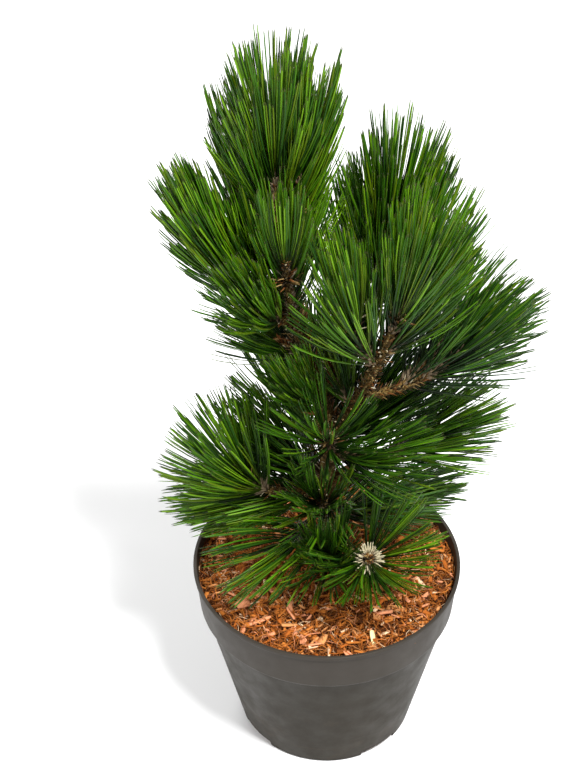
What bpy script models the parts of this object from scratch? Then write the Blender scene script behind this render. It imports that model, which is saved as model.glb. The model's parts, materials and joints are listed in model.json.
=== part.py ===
"""A young Bosnian pine in a round nursery pot, in metres, +Z up.

The origin is the middle of the pot's flat underside. Azimuth 0 is +X and azimuth 90 is +Y.
The trunk leans and bends, boughs leave it in turn, and each shoot of the crown is one mass:
a square stem that ends in a bud, with needles fused on all round it.
"""
import math
import random
from collections import namedtuple

import bmesh
import bpy
import numpy as np
from mathutils import Matrix

Limb = namedtuple("Limb", "parent share azimuth elevation turn length foot_r tip_r")
Shoot = namedtuple("Shoot", "parent share azimuth elevation turn length needles needle open_foot open_tip rise")

# Pot
POT_HEIGHT = 0.160
RIM_R = 0.104
FOOT_R = 0.070
WALL = 0.0018
FLOOR = 0.0025
BAND_HEIGHT = 0.0355
BAND_TOP_R = 0.1030
BAND_FOOT_R = 0.1003
BAND_STEP = 0.0032
BEAD_HEIGHT = 0.0035
FOOT_ROUND = 0.0025
POT_STEPS = 36
NOTCH_COUNT = 4
NOTCH_TURN = math.radians(-54.5)
NOTCH_WIDTH = 0.033
NOTCH_HEIGHT = 0.006
NOTCH_DEPTH = 0.024

# Potting mix under its mulch
MULCH_TOP = 0.150
MULCH_FALL = 0.0035
MULCH_FLAT_R = 0.030

# Gap that two touching pieces keep, and the angle in degrees past which an edge looks sharp
FIT_GAP = 0.0003
SHARP_ANGLE = 40

# Trunk: height, x, y and radius at each station, from just under the flat cut to the foot of the leader
TRUNK_CUT = MULCH_TOP + FIT_GAP
TRUNK = (
    (0.145, 0.0042, -0.0004, 0.0125),
    (0.153, 0.0038, 0.0000, 0.0090),
    (0.162, 0.0034, 0.0006, 0.0074),
    (0.200, 0.0020, 0.0020, 0.0064),
    (0.250, 0.0000, 0.0020, 0.0059),
    (0.296, 0.0010, 0.0000, 0.0056),
    (0.360, -0.0150, -0.0010, 0.0046),
    (0.410, -0.0280, 0.0000, 0.0040),
    (0.463, -0.0345, 0.0000, 0.0034),
)
TRUNK_RINGS = 20
LIMB_RINGS = 7
STEM_RINGS = 4

# Boughs: parent, share along it, azimuth, elevation, upward turn, length and radius at foot and tip
BOUGHS = {
    "bough_right_front": Limb("trunk", 0.44, -47, 58, 14, 0.134, 0.0040, 0.0030),
    "bough_right_side": Limb("bough_right_front", 0.46, -8, 10, 25, 0.046, 0.0030, 0.0026),
    "bough_back_right": Limb("trunk", 0.56, 31, 50, 17, 0.088, 0.0044, 0.0032),
    "bough_left_upper": Limb("trunk", 0.775, 194, 18, 33, 0.028, 0.0035, 0.0030),
    "bough_back_left": Limb("trunk", 0.58, 128, 50, 25, 0.081, 0.0040, 0.0030),
    "bough_left_low": Limb("trunk", 0.26, 200, 14, 11, 0.051, 0.0038, 0.0030),
    "bough_right_low": Limb("trunk", 0.3, 18, 12, 0, 0.049, 0.0038, 0.0030),
    "bough_front_low": Limb("trunk", 0.11, -46, 0, 8, 0.038, 0.0035, 0.0030),
    "bough_back_low": Limb("trunk", 0.2, 110, 30, 22, 0.051, 0.0036, 0.0030),
}

# Shoots: the same first six, then needles in life, their length, how far they open at foot and tip,
# and how strongly they turn up towards the light
SHOOTS = {
    "leader": Shoot("trunk", 1.0, 167, 88, 2, 0.071, 210, 0.077, 50, 54, 0.28),
    "leader_right": Shoot("trunk", 0.941, 6, 73, 10, 0.076, 160, 0.080, 36, 54, 0.57),
    "leader_front": Shoot("trunk", 0.787, -100, 58, 14, 0.066, 125, 0.077, 42, 39, 0.54),
    "leader_left": Shoot("trunk", 0.793, 174, 51, 18, 0.056, 100, 0.078, 50, 51, 0.24),
    "left_upper": Shoot("bough_left_upper", 1.0, 189, 52, 14, 0.058, 165, 0.080, 36, 29, 0.28),
    "right_front_left": Shoot("bough_right_front", 0.74, 201, 55, 22, 0.050, 115, 0.079, 56, 25, 0.38),
    "right_front_top": Shoot("bough_right_front", 1.0, -19, 65, 8, 0.047, 140, 0.082, 44, 50, 0.24),
    "right_front_right": Shoot("bough_right_front", 0.804, -9, 52, 18, 0.050, 125, 0.080, 48, 37, 0.46),
    "right_side": Shoot("bough_right_side", 1.0, -9, 38, 12, 0.035, 75, 0.076, 44, 31, 0.19),
    "right_side_back": Shoot("bough_right_side", 0.655, 18, 36, 12, 0.052, 98, 0.076, 56, 47, -0.17),
    "back_right_top": Shoot("bough_back_right", 1.0, 29, 74, 5, 0.060, 135, 0.080, 55, 52, 0.38),
    "back_right_side": Shoot("bough_back_right", 0.78, 2, 54, 18, 0.069, 100, 0.076, 63, 20, 0.29),
    "back_left": Shoot("bough_back_left", 1.0, 150, 60, 12, 0.080, 110, 0.078, 36, 27, 0.51),
    "left_low": Shoot("bough_left_low", 1.0, 186, 34, 14, 0.023, 105, 0.078, 71, 51, 0.47),
    "right_low": Shoot("bough_right_low", 1.0, 2, 25, 14, 0.034, 105, 0.072, 56, 29, -0.07),
    "front_low": Shoot("bough_front_low", 1.0, -88, 44, 4, 0.020, 84, 0.071, 80, 118, 0.34),
    "back_low": Shoot("bough_back_low", 1.0, 108, 38, 14, 0.055, 130, 0.081, 70, 23, 0.35),
    "spur_upper_back": Shoot("trunk", 0.855, 69, 33, 10, 0.022, 70, 0.072, 52, 36, 0.70),
    "spur_upper_left": Shoot("bough_left_upper", 0.3, 236, 24, 16, 0.030, 90, 0.074, 48, 34, 0.55),
    "spur_middle_left": Shoot("trunk", 0.672, 177, 32, 10, 0.014, 110, 0.069, 64, 47, 0.44),
    "spur_middle_front": Shoot("trunk", 0.54, -125, 34, 16, 0.023, 85, 0.076, 36, 28, 0.50),
    "spur_middle_back": Shoot("trunk", 0.424, 89, 33, 10, 0.043, 90, 0.080, 67, 40, 0.32),
    "spur_inner_right": Shoot("trunk", 0.409, 15, 29, 10, 0.045, 100, 0.080, 52, 20, 0.14),
    "spur_inner_front": Shoot("trunk", 0.24, -100, 6, 70, 0.044, 100, 0.078, 40, 34, 0.40),
    "spur_centre": Shoot("trunk", 0.403, -94, 39, 16, 0.055, 66, 0.074, 76, 54, 0.40),
    "spur_centre_right": Shoot("trunk", 0.384, -40, 12, 14, 0.030, 60, 0.078, 56, 36, 0.35),
    "spur_centre_left": Shoot("trunk", 0.303, 169, 21, 10, 0.031, 100, 0.073, 59, 25, 0.37),
    "spur_front": Shoot("trunk", 0.06, -96, 10, 66, 0.046, 105, 0.078, 40, 34, 0.40),
    "spur_bough_front": Shoot("bough_right_front", 0.336, 151, 53, 10, 0.026, 80, 0.072, 45, 36, 0.30),
    "spur_bough_back": Shoot("bough_back_right", 0.654, 82, 55, 10, 0.050, 115, 0.078, 58, 36, 0.43),
    "spur_low_left": Shoot("bough_left_low", 0.14, 184, 0, 0, 0.047, 120, 0.076, 38, 39, 0.0),
    "spur_low_right": Shoot("trunk", 0.182, 18, 4, 0, 0.047, 105, 0.073, 46, 20, -0.09),
    "spur_low_front": Shoot("trunk", 0.15, 216, 4, 8, 0.036, 44, 0.078, 56, 34, -0.05),
}
STEM_FOOT_R = 0.0022
STEM_TIP_R = 0.0017
STEM_SINK = 0.0008
BUD_R = 0.0024
BUD_LENGTH = 0.010

# Needles, fewer and thicker than in life
NEEDLE_SHARE = 0.31
NEEDLE_LENGTH = 0.074
NEEDLE_ROOT_R = 0.0008
NEEDLE_MID_R = 0.0017
NEEDLE_MOST_R = 0.0019
NEEDLE_BEND_AT = 0.60
NEEDLE_BEND = math.radians(13)
GOLDEN_TURN = 137.508
TURN_STRAY = 14
OPEN_FOOT, OPEN_TIP = 0.92, 0.50
OPEN_STRAY = 0.08
LIT_SIDE = np.array([0.0, -1.0, 0.0])
LIT_CLOSING = 0.35
LENGTH_LEAST, LENGTH_MOST = 0.88, 1.05
CROWDING = 0.85
CLOSING = 1.2
OWN_SPACE = 3.0
NEEDLE_CLEARANCE = 0.0004
MULCH_CLEARANCE = 0.002
RIM_CLEARANCE = 0.003


# Points, directions and distances

def unit(vector):
    return vector / np.linalg.norm(vector)


def heading(azimuth, elevation):
    a, e = math.radians(azimuth), math.radians(elevation)
    return np.array([math.cos(a) * math.cos(e), math.sin(a) * math.cos(e), math.sin(e)])


def smooth(stations, count):
    """Points evenly along a Catmull-Rom curve through the stations."""
    s = np.asarray(stations, float)
    s = np.vstack([2 * s[0] - s[1], s, 2 * s[-1] - s[-2]])
    spans = len(s) - 3
    rows = []
    for u in np.linspace(0, spans, count):
        i = min(int(u), spans - 1)
        t = u - i
        a, b, c, d = s[i:i + 4]
        rows.append(b + 0.5 * t * (c - a + t * (2 * a - 5 * b + 4 * c - d + t * (3 * b - a - 3 * c + d))))
    return np.array(rows)


def limb_path(start, limb, count):
    """Points of a limb that sets out at its elevation and turns upward evenly."""
    step = limb.length / (count - 1)
    points = [start]
    for i in range(count - 1):
        rise = limb.elevation + limb.turn * (i + 0.5) / (count - 1)
        points.append(points[-1] + step * heading(limb.azimuth, rise))
    return np.array(points)


def along(path, share):
    """The point at a share of the path's length, and the path's direction there."""
    spans = np.diff(path, axis=0)
    lengths = np.linalg.norm(spans, axis=1)
    run = np.concatenate([[0], np.cumsum(lengths)])
    distance = share * run[-1]
    i = min(np.searchsorted(run, distance, side="right") - 1, len(spans) - 1)
    return path[i] + spans[i] * (distance - run[i]) / lengths[i], unit(spans[i])


def distances(points, path):
    """How far each point lies from a path of straight spans."""
    a, d = path[:-1], np.diff(path, axis=0)
    t = np.clip(((points[:, None] - a) * d).sum(-1) / (d * d).sum(-1), 0, 1)
    return np.linalg.norm(points[:, None] - a - t[..., None] * d, axis=-1).min(1)


def span_gaps(p, q):
    """The least distance between each span of path p and each span of path q."""
    p0, u = p[:-1, None], np.diff(p, axis=0)[:, None]
    q0, v = q[None, :-1], np.diff(q, axis=0)[None]
    w = p0 - q0
    a, b, c = (u * u).sum(-1), (u * v).sum(-1), (v * v).sum(-1)
    d, e = (u * w).sum(-1), (v * w).sum(-1)
    det = np.maximum(a * c - b * b, 1e-18)
    s = np.clip((b * e - c * d) / det, 0, 1)
    t = np.clip((b * s + e) / c, 0, 1)
    s = np.clip((b * t - d) / a, 0, 1)
    return np.linalg.norm(w + s[..., None] * u - t[..., None] * v, axis=-1)


# Growth

def grow_limbs():
    """Path and radii of the trunk, each bough and each shoot's stem."""
    trunk = smooth([(x, y, z, r) for z, x, y, r in TRUNK], TRUNK_RINGS)
    paths, radii = {"trunk": trunk[:, :3]}, {"trunk": trunk[:, 3]}
    for name, limb in BOUGHS.items():
        start, _ = along(paths[limb.parent], limb.share)
        paths[name] = limb_path(start, limb, LIMB_RINGS)
        radii[name] = np.linspace(limb.foot_r, limb.tip_r, LIMB_RINGS)
    for name, shoot in SHOOTS.items():
        start, _ = along(paths[shoot.parent], shoot.share)
        paths[name] = limb_path(start, shoot, STEM_RINGS)
        radii[name] = np.linspace(STEM_FOOT_R, STEM_TIP_R, STEM_RINGS)
    return paths, radii


def needle_paths(name, path):
    """Root, middle and tip of each needle that the shoot could carry, set by the golden angle."""
    shoot = SHOOTS[name]
    chance = random.Random(name)
    count = round(shoot.needles * NEEDLE_SHARE)
    needles = []
    for i in range(count):
        share = ((i + 0.5) / count) ** CROWDING
        root, ahead = along(path, share)
        side = unit(np.cross((0, 0, 1) if abs(ahead[2]) < 0.9 else (1, 0, 0), ahead))
        turn = math.radians(i * GOLDEN_TURN + chance.uniform(-TURN_STRAY, TURN_STRAY))
        outward = math.cos(turn) * side + math.sin(turn) * np.cross(ahead, side)
        foot, tip = shoot.open_foot * OPEN_FOOT, shoot.open_tip * OPEN_TIP
        opening = (foot + (tip - foot) * share ** CLOSING) * chance.gauss(1, OPEN_STRAY)
        opening *= 1 - LIT_CLOSING * max(outward @ LIT_SIDE, 0)
        length = shoot.needle * chance.uniform(LENGTH_LEAST, LENGTH_MOST)
        needles.append(needle_path(root, ahead, outward, math.radians(opening), shoot.rise, length))
    return needles


def needle_path(root, ahead, outward, opening, rise, length):
    """A needle leaves at its opening angle, drawn up by the rise, and bends forward and up past its middle."""
    up = np.array([0.0, 0.0, 1.0])
    first = unit(math.cos(opening) * ahead + math.sin(opening) * outward + rise * up)
    forward = ahead + rise * up
    forward = unit(forward - first * (forward @ first))
    second = math.cos(NEEDLE_BEND) * first + math.sin(NEEDLE_BEND) * forward
    middle = root + first * length * NEEDLE_BEND_AT
    return np.array([root, middle, middle + second * length * (1 - NEEDLE_BEND_AT)])


def clears_pot(needle):
    """True where the needle stays above the mulch and over the rim."""
    points = np.vstack([np.linspace(needle[0], needle[1], 10), np.linspace(needle[1], needle[2], 10)])
    radius, height = np.hypot(points[:, 0], points[:, 1]), points[:, 2]
    over_mulch = radius < RIM_R
    over_rim = abs(radius - RIM_R) < 3 * WALL + RIM_CLEARANCE
    low = over_mulch & (height < MULCH_TOP + MULCH_CLEARANCE)
    return not (low | over_rim & (height < POT_HEIGHT + RIM_CLEARANCE)).any()


def grow_needles(paths, radii):
    """The needles of each shoot that keep to its own space and touch no limb and no other shoot's needle."""
    grown = {}
    for name in SHOOTS:
        kept = []
        for needle in needle_paths(name, paths[name]):
            if clears_pot(needle) and has_room(needle, name, paths, radii, grown):
                kept.append(needle)
        grown[name] = kept
    return grown


def has_room(needle, name, paths, radii, grown):
    own = distances(needle[1:], paths[name])
    for other, path in paths.items():
        if other == name:
            continue
        reach = np.maximum(radii[other][:-1], radii[other][1:]) + NEEDLE_MOST_R + NEEDLE_CLEARANCE
        if (span_gaps(needle, path) < reach).any():
            return False
        if other not in SHOOTS:
            continue
        if (own > OWN_SPACE * distances(needle[1:], path)).any():
            return False
        bud = np.array([path[-1], path[-1] + unit(path[-1] - path[-2]) * BUD_LENGTH])
        if (span_gaps(needle, bud) < BUD_R + NEEDLE_MOST_R + NEEDLE_CLEARANCE).any():
            return False
    apart = 2 * NEEDLE_MOST_R + NEEDLE_CLEARANCE
    return all((span_gaps(needle, rival) > apart).all() for rivals in grown.values() for rival in rivals)


# Blender helpers

def clear_scene():
    for obj in list(bpy.data.objects):
        bpy.data.objects.remove(obj, do_unlink=True)


def new_collection(name, parent=None):
    made = bpy.data.collections.new(name)
    (parent or bpy.context.scene.collection).children.link(made)
    return made


def material(name, colour, roughness):
    made = bpy.data.materials.new(name)
    made.use_nodes = True
    shader = made.node_tree.nodes["Principled BSDF"]
    shader.inputs["Base Color"].default_value = (*colour, 1)
    shader.inputs["Roughness"].default_value = roughness
    made.diffuse_color = (*colour, 1)
    return made


def add_object(name, mesh, collection, look=None):
    obj = bpy.data.objects.new(name, mesh)
    collection.objects.link(obj)
    if look:
        mesh.materials.clear()
        mesh.materials.append(look)
    return obj


def cutting_box(name, size, location, turn, cutters):
    """A box that only cuts, turned about Z."""
    bpy.ops.mesh.primitive_cube_add(size=1)
    box = bpy.context.active_object
    box.name = name
    box.data.transform(Matrix.Diagonal((*size, 1)))
    box.matrix_world = Matrix.Translation(location) @ Matrix.Rotation(turn, 4, "Z")
    for home in list(box.users_collection):
        home.objects.unlink(box)
    cutters.objects.link(hide_cutter(box))
    return box


def shade(mesh):
    mesh.shade_smooth()
    mesh.set_sharp_from_angle(angle=math.radians(SHARP_ANGLE))


def evaluated_mesh(obj):
    """A copy of the object's mesh with its modifiers or its bevel worked out and its caps joined on."""
    bpy.context.view_layer.update()
    graph = bpy.context.evaluated_depsgraph_get()
    mesh = bpy.data.meshes.new_from_object(obj.evaluated_get(graph))
    bm = bmesh.new()
    bm.from_mesh(mesh)
    bmesh.ops.remove_doubles(bm, verts=bm.verts, dist=1e-6)
    bm.to_mesh(mesh)
    bm.free()
    return mesh


def tube(name, path, radii, corners, collection, look=None):
    """A closed tapering tube along the path, made from a bevelled curve."""
    curve = bpy.data.curves.new(name, "CURVE")
    curve.dimensions = "3D"
    curve.bevel_depth = 1.0
    curve.bevel_resolution = corners // 2 - 2
    curve.use_fill_caps = True
    spline = curve.splines.new("POLY")
    spline.points.add(len(path) - 1)
    for point, place, radius in zip(spline.points, path, radii):
        point.co = (*place, 1)
        point.radius = radius
    drawn = add_object(name + "_curve", curve, collection)
    obj = add_object(name, evaluated_mesh(drawn), collection, look)
    obj.matrix_world = drawn.matrix_world
    bpy.data.objects.remove(drawn, do_unlink=True)
    shade(obj.data)
    return obj


def turned(name, profile, steps, collection, look):
    """A profile of (radius, height) points spun round the Z axis."""
    mesh = bpy.data.meshes.new(name)
    mesh.from_pydata([(r, 0, z) for r, z in profile], [(i, i + 1) for i in range(len(profile) - 1)], [])
    obj = add_object(name, mesh, collection, look)
    screw = obj.modifiers.new("spin", "SCREW")
    screw.steps = screw.render_steps = steps
    screw.use_merge_vertices = True
    screw.merge_threshold = 1e-5
    return obj


def boolean(obj, operation, other):
    """A Boolean with one object or with a whole collection."""
    made = obj.modifiers.new(operation.lower(), "BOOLEAN")
    made.operation = operation
    made.solver = "EXACT"
    if isinstance(other, bpy.types.Collection):
        made.operand_type = "COLLECTION"
        made.collection = other
    else:
        made.object = other
    return made


def apply_modifiers(obj):
    mesh = evaluated_mesh(obj)
    obj.modifiers.clear()
    obj.data = mesh


def hide_cutter(obj):
    obj.hide_render = True
    obj.display_type = "WIRE"
    return obj


# Pot and its filling

def wall_radius(height, inset=0.0):
    """Outer radius of the pot's wall and band, less an inset."""
    band_foot = POT_HEIGHT - BAND_HEIGHT
    if height >= band_foot:
        share = (height - band_foot) / BAND_HEIGHT
        return BAND_FOOT_R + (BAND_TOP_R - BAND_FOOT_R) * share - inset
    share = height / band_foot
    return FOOT_R + (BAND_FOOT_R - BAND_STEP - FOOT_R) * share - inset


def make_pot(collection, cutters, look):
    band_foot = POT_HEIGHT - BAND_HEIGHT
    bead_foot = POT_HEIGHT - BEAD_HEIGHT
    below = band_foot - 0.0005
    lining = band_foot + WALL
    profile = [
        (0, FLOOR),
        (wall_radius(FLOOR, WALL), FLOOR),
        (wall_radius(below, WALL), below),
        (wall_radius(lining, WALL), lining),
        (wall_radius(POT_HEIGHT, WALL), POT_HEIGHT),
        (RIM_R, POT_HEIGHT),
        (RIM_R, bead_foot + 0.001),
        (wall_radius(bead_foot), bead_foot),
        (wall_radius(band_foot), band_foot),
        (wall_radius(below), below),
        (wall_radius(FOOT_ROUND), FOOT_ROUND),
        (FOOT_R - 0.3 * FOOT_ROUND, 0.3 * FOOT_ROUND),
        (FOOT_R - FOOT_ROUND, 0),
        (0, 0),
    ]
    pot = turned("pot", profile, POT_STEPS, collection, look)
    for i in range(NOTCH_COUNT):
        azimuth = NOTCH_TURN + i * 2 * math.pi / NOTCH_COUNT
        size = (NOTCH_DEPTH, NOTCH_WIDTH, 2 * NOTCH_HEIGHT)
        centre = (FOOT_R * math.cos(azimuth), FOOT_R * math.sin(azimuth), 0)
        boolean(pot, "DIFFERENCE", cutting_box(f"notch_{i}", size, centre, azimuth, cutters))
    return pot


def make_mix(collection, look):
    """The potting mix fills the pot up to its low mound of mulch."""
    band_foot = POT_HEIGHT - BAND_HEIGHT
    inset = WALL + FIT_GAP
    floor = FLOOR + FIT_GAP
    edge = MULCH_TOP - MULCH_FALL
    below = band_foot - 0.0005 + FIT_GAP
    ledge = band_foot + inset
    profile = [
        (0, MULCH_TOP),
        (MULCH_FLAT_R, MULCH_TOP),
        ((MULCH_FLAT_R + wall_radius(edge)) / 2, MULCH_TOP - 0.3 * MULCH_FALL),
        (wall_radius(edge, inset), edge),
        (wall_radius(ledge, inset), ledge),
        (wall_radius(below, inset), below),
        (wall_radius(floor, inset), floor),
        (0, floor),
    ]
    return turned("potting_mix", profile, POT_STEPS, collection, look)


# Wood and needles

def clearance_cutter(name, path, radii, corners, cutters):
    """The limb a little fatter and longer, to cut what grows from it clear of it."""
    beyond = path[-1] + unit(path[-1] - path[-2]) * FIT_GAP
    fat = np.append(radii, radii[-1]) + FIT_GAP
    return hide_cutter(tube(name + "_clearance", np.vstack([path, beyond]), fat, corners, cutters))


def needle_mesh():
    """A three-sided cone cut across where it bends, thickened there and bent towards +X."""
    bm = bmesh.new()
    bmesh.ops.create_cone(
        bm, cap_ends=True, segments=3, radius1=NEEDLE_ROOT_R, radius2=0, depth=NEEDLE_LENGTH
    )
    bmesh.ops.translate(bm, verts=bm.verts, vec=(0, 0, NEEDLE_LENGTH / 2))
    middle = NEEDLE_LENGTH * NEEDLE_BEND_AT
    whole = bm.verts[:] + bm.edges[:] + bm.faces[:]
    cut = bmesh.ops.bisect_plane(bm, geom=whole, plane_co=(0, 0, middle), plane_no=(0, 0, 1))
    ring = [v for v in cut["geom_cut"] if isinstance(v, bmesh.types.BMVert)]
    widen = NEEDLE_MID_R / (NEEDLE_ROOT_R * (1 - NEEDLE_BEND_AT))
    bmesh.ops.scale(bm, verts=ring, vec=(widen, widen, 1))
    tip = [v for v in bm.verts if v.co.z > NEEDLE_LENGTH * 0.99]
    bend = Matrix.Rotation(NEEDLE_BEND, 3, "Y")
    bmesh.ops.rotate(bm, verts=tip, cent=(0, 0, middle), matrix=bend)
    mesh = bpy.data.meshes.new("needle")
    bm.to_mesh(mesh)
    bm.free()
    return mesh


def place_needle(obj, needle):
    """Stands the needle at its root, along its first half, bent the way its path bends."""
    first, second = np.diff(needle, axis=0)
    up = unit(first)
    forward = unit(second - up * (second @ up))
    axes = np.column_stack([forward, np.cross(up, forward), up])
    size = np.linalg.norm(first) / (NEEDLE_BEND_AT * NEEDLE_LENGTH)
    obj.matrix_world = Matrix.Translation(needle[0]) @ Matrix(axes * size).to_4x4()


def keep_largest(mesh):
    """Drops loose scraps that fusing may leave."""
    bm = bmesh.new()
    bm.from_mesh(mesh)
    left = set(bm.faces)
    bodies = []
    while left:
        body = [left.pop()]
        for face in body:
            for edge in face.edges:
                for neighbour in edge.link_faces:
                    if neighbour in left:
                        left.remove(neighbour)
                        body.append(neighbour)
        bodies.append(body)
    bodies.sort(key=len)
    bmesh.ops.delete(bm, geom=[face for body in bodies[:-1] for face in body], context="FACES")
    bm.to_mesh(mesh)
    bm.free()


def make_mass(name, path, radii, needles, template, cutter, collection, look):
    """One shoot: a stem that ends in a bud, cut clear of its parent, with its needles fused on."""
    behind, ahead = unit(path[0] - path[1]), unit(path[-1] - path[-2])
    bud = [path[-1] + ahead * BUD_LENGTH * share for share in (0.4, 1.0)]
    stem_path = np.vstack([path[0] + behind * STEM_SINK, path[1:], bud])
    stem_radii = np.concatenate([radii, [BUD_R, 0.25 * BUD_R]])
    stem = tube(name, stem_path, stem_radii, 4, collection, look)
    boolean(stem, "DIFFERENCE", cutter)
    apply_modifiers(stem)
    loose = new_collection(name + "_loose")
    for needle in needles:
        place_needle(add_object("needle", template, loose), needle)
    boolean(stem, "UNION", loose)
    apply_modifiers(stem)
    for obj in list(loose.objects):
        bpy.data.objects.remove(obj, do_unlink=True)
    bpy.data.collections.remove(loose)
    keep_largest(stem.data)
    stem.data.materials.clear()
    stem.data.materials.append(look)
    return stem


def main():
    clear_scene()
    plant = new_collection("potted_pine")
    cutters = new_collection("cutters")
    plastic = material("pot_plastic", (0.105, 0.096, 0.088), 0.42)
    mulch = material("wood_fibre_mulch", (0.42, 0.16, 0.06), 0.9)
    bark = material("bark", (0.13, 0.075, 0.045), 0.85)
    green = material("needles", (0.035, 0.12, 0.022), 0.45)

    make_pot(plant, cutters, plastic)
    make_mix(plant, mulch)

    paths, radii = grow_limbs()
    corners = {"trunk": 10, **{name: 6 for name in BOUGHS}}
    clearance = {}
    for name, sides in corners.items():
        clearance[name] = clearance_cutter(name, paths[name], radii[name], sides, cutters)
    trunk = tube("trunk", paths["trunk"], radii["trunk"], corners["trunk"], plant, bark)
    ground = cutting_box("ground_cut", (0.1, 0.1, 0.02), (0, 0, TRUNK_CUT - 0.01), 0, cutters)
    boolean(trunk, "DIFFERENCE", ground)
    for name, limb in BOUGHS.items():
        bough = tube(name, paths[name], radii[name], corners[name], plant, bark)
        boolean(bough, "DIFFERENCE", clearance[limb.parent])

    template = needle_mesh()
    grown = grow_needles(paths, radii)
    for name, needles in grown.items():
        cutter = clearance[SHOOTS[name].parent]
        make_mass("needles_" + name, paths[name], radii[name], needles, template, cutter, plant, green)


main()
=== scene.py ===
"""How the young pine in its nursery pot looks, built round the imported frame, in metres, +Z up.

Limbs and needles grow by the source's own rule, repeated here, with as many needles as in life.
Every strand, from a needle to a curl of mulch, is one outline swept along its own row of points.
"""

import json
import math
from collections import namedtuple

import bmesh
import bpy
import numpy as np
from mathutils import Matrix

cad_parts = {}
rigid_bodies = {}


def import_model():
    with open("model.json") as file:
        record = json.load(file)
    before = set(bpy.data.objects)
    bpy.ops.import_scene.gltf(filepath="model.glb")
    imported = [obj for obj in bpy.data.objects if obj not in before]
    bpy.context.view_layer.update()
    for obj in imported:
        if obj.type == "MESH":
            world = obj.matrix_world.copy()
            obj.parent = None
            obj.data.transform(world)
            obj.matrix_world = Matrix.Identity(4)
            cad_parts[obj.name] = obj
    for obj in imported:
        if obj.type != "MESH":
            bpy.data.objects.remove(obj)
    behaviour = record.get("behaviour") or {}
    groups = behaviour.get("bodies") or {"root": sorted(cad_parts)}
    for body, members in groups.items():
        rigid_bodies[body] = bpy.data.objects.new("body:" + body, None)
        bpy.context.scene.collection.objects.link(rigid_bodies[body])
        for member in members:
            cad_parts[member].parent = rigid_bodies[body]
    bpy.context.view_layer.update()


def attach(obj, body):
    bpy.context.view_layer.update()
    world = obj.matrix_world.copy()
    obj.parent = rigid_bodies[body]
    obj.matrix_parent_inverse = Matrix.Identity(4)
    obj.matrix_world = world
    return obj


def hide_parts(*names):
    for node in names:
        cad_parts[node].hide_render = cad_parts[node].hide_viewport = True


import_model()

Limb = namedtuple("Limb", "parent share azimuth elevation turn length foot_r tip_r")
Shoot = namedtuple(
    "Shoot", "parent share azimuth elevation turn length needles needle open_foot open_tip rise"
)
Form = namedtuple("Form", "points faces coats")

# Pot, as in the source
POT_HEIGHT = 0.160
RIM_R = 0.104
FOOT_R = 0.070
WALL = 0.0018
FLOOR = 0.0025
BAND_HEIGHT = 0.0355
BAND_TOP_R = 0.1030
BAND_FOOT_R = 0.1003
BAND_STEP = 0.0032
BEAD_HEIGHT = 0.0035
FOOT_ROUND = 0.0025
NOTCH_COUNT = 4
NOTCH_TURN = math.radians(-54.5)
NOTCH_WIDTH = 0.033
NOTCH_HEIGHT = 0.006
NOTCH_DEPTH = 0.024
FIT_GAP = 0.0003

# Mulch, as in the source
MULCH_TOP = 0.150
MULCH_FALL = 0.0035
MULCH_FLAT_R = 0.030

# Trunk, boughs and shoots, as in the source
TRUNK = (
    (0.145, 0.0042, -0.0004, 0.0125),
    (0.153, 0.0038, 0.0000, 0.0090),
    (0.162, 0.0034, 0.0006, 0.0074),
    (0.200, 0.0020, 0.0020, 0.0064),
    (0.250, 0.0000, 0.0020, 0.0059),
    (0.296, 0.0010, 0.0000, 0.0056),
    (0.360, -0.0150, -0.0010, 0.0046),
    (0.410, -0.0280, 0.0000, 0.0040),
    (0.463, -0.0345, 0.0000, 0.0034),
)
TRUNK_RINGS = 20
LIMB_RINGS = 7
STEM_RINGS = 4
BOUGHS = {
    "bough_right_front": Limb("trunk", 0.44, -47, 58, 14, 0.134, 0.0040, 0.0030),
    "bough_right_side": Limb("bough_right_front", 0.46, -8, 10, 25, 0.046, 0.0030, 0.0026),
    "bough_back_right": Limb("trunk", 0.56, 31, 50, 17, 0.088, 0.0044, 0.0032),
    "bough_left_upper": Limb("trunk", 0.775, 194, 18, 33, 0.028, 0.0035, 0.0030),
    "bough_back_left": Limb("trunk", 0.58, 128, 50, 25, 0.081, 0.0040, 0.0030),
    "bough_left_low": Limb("trunk", 0.26, 200, 14, 11, 0.051, 0.0038, 0.0030),
    "bough_right_low": Limb("trunk", 0.3, 18, 12, 0, 0.049, 0.0038, 0.0030),
    "bough_front_low": Limb("trunk", 0.11, -46, 0, 8, 0.038, 0.0035, 0.0030),
    "bough_back_low": Limb("trunk", 0.2, 110, 30, 22, 0.051, 0.0036, 0.0030),
}
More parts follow.
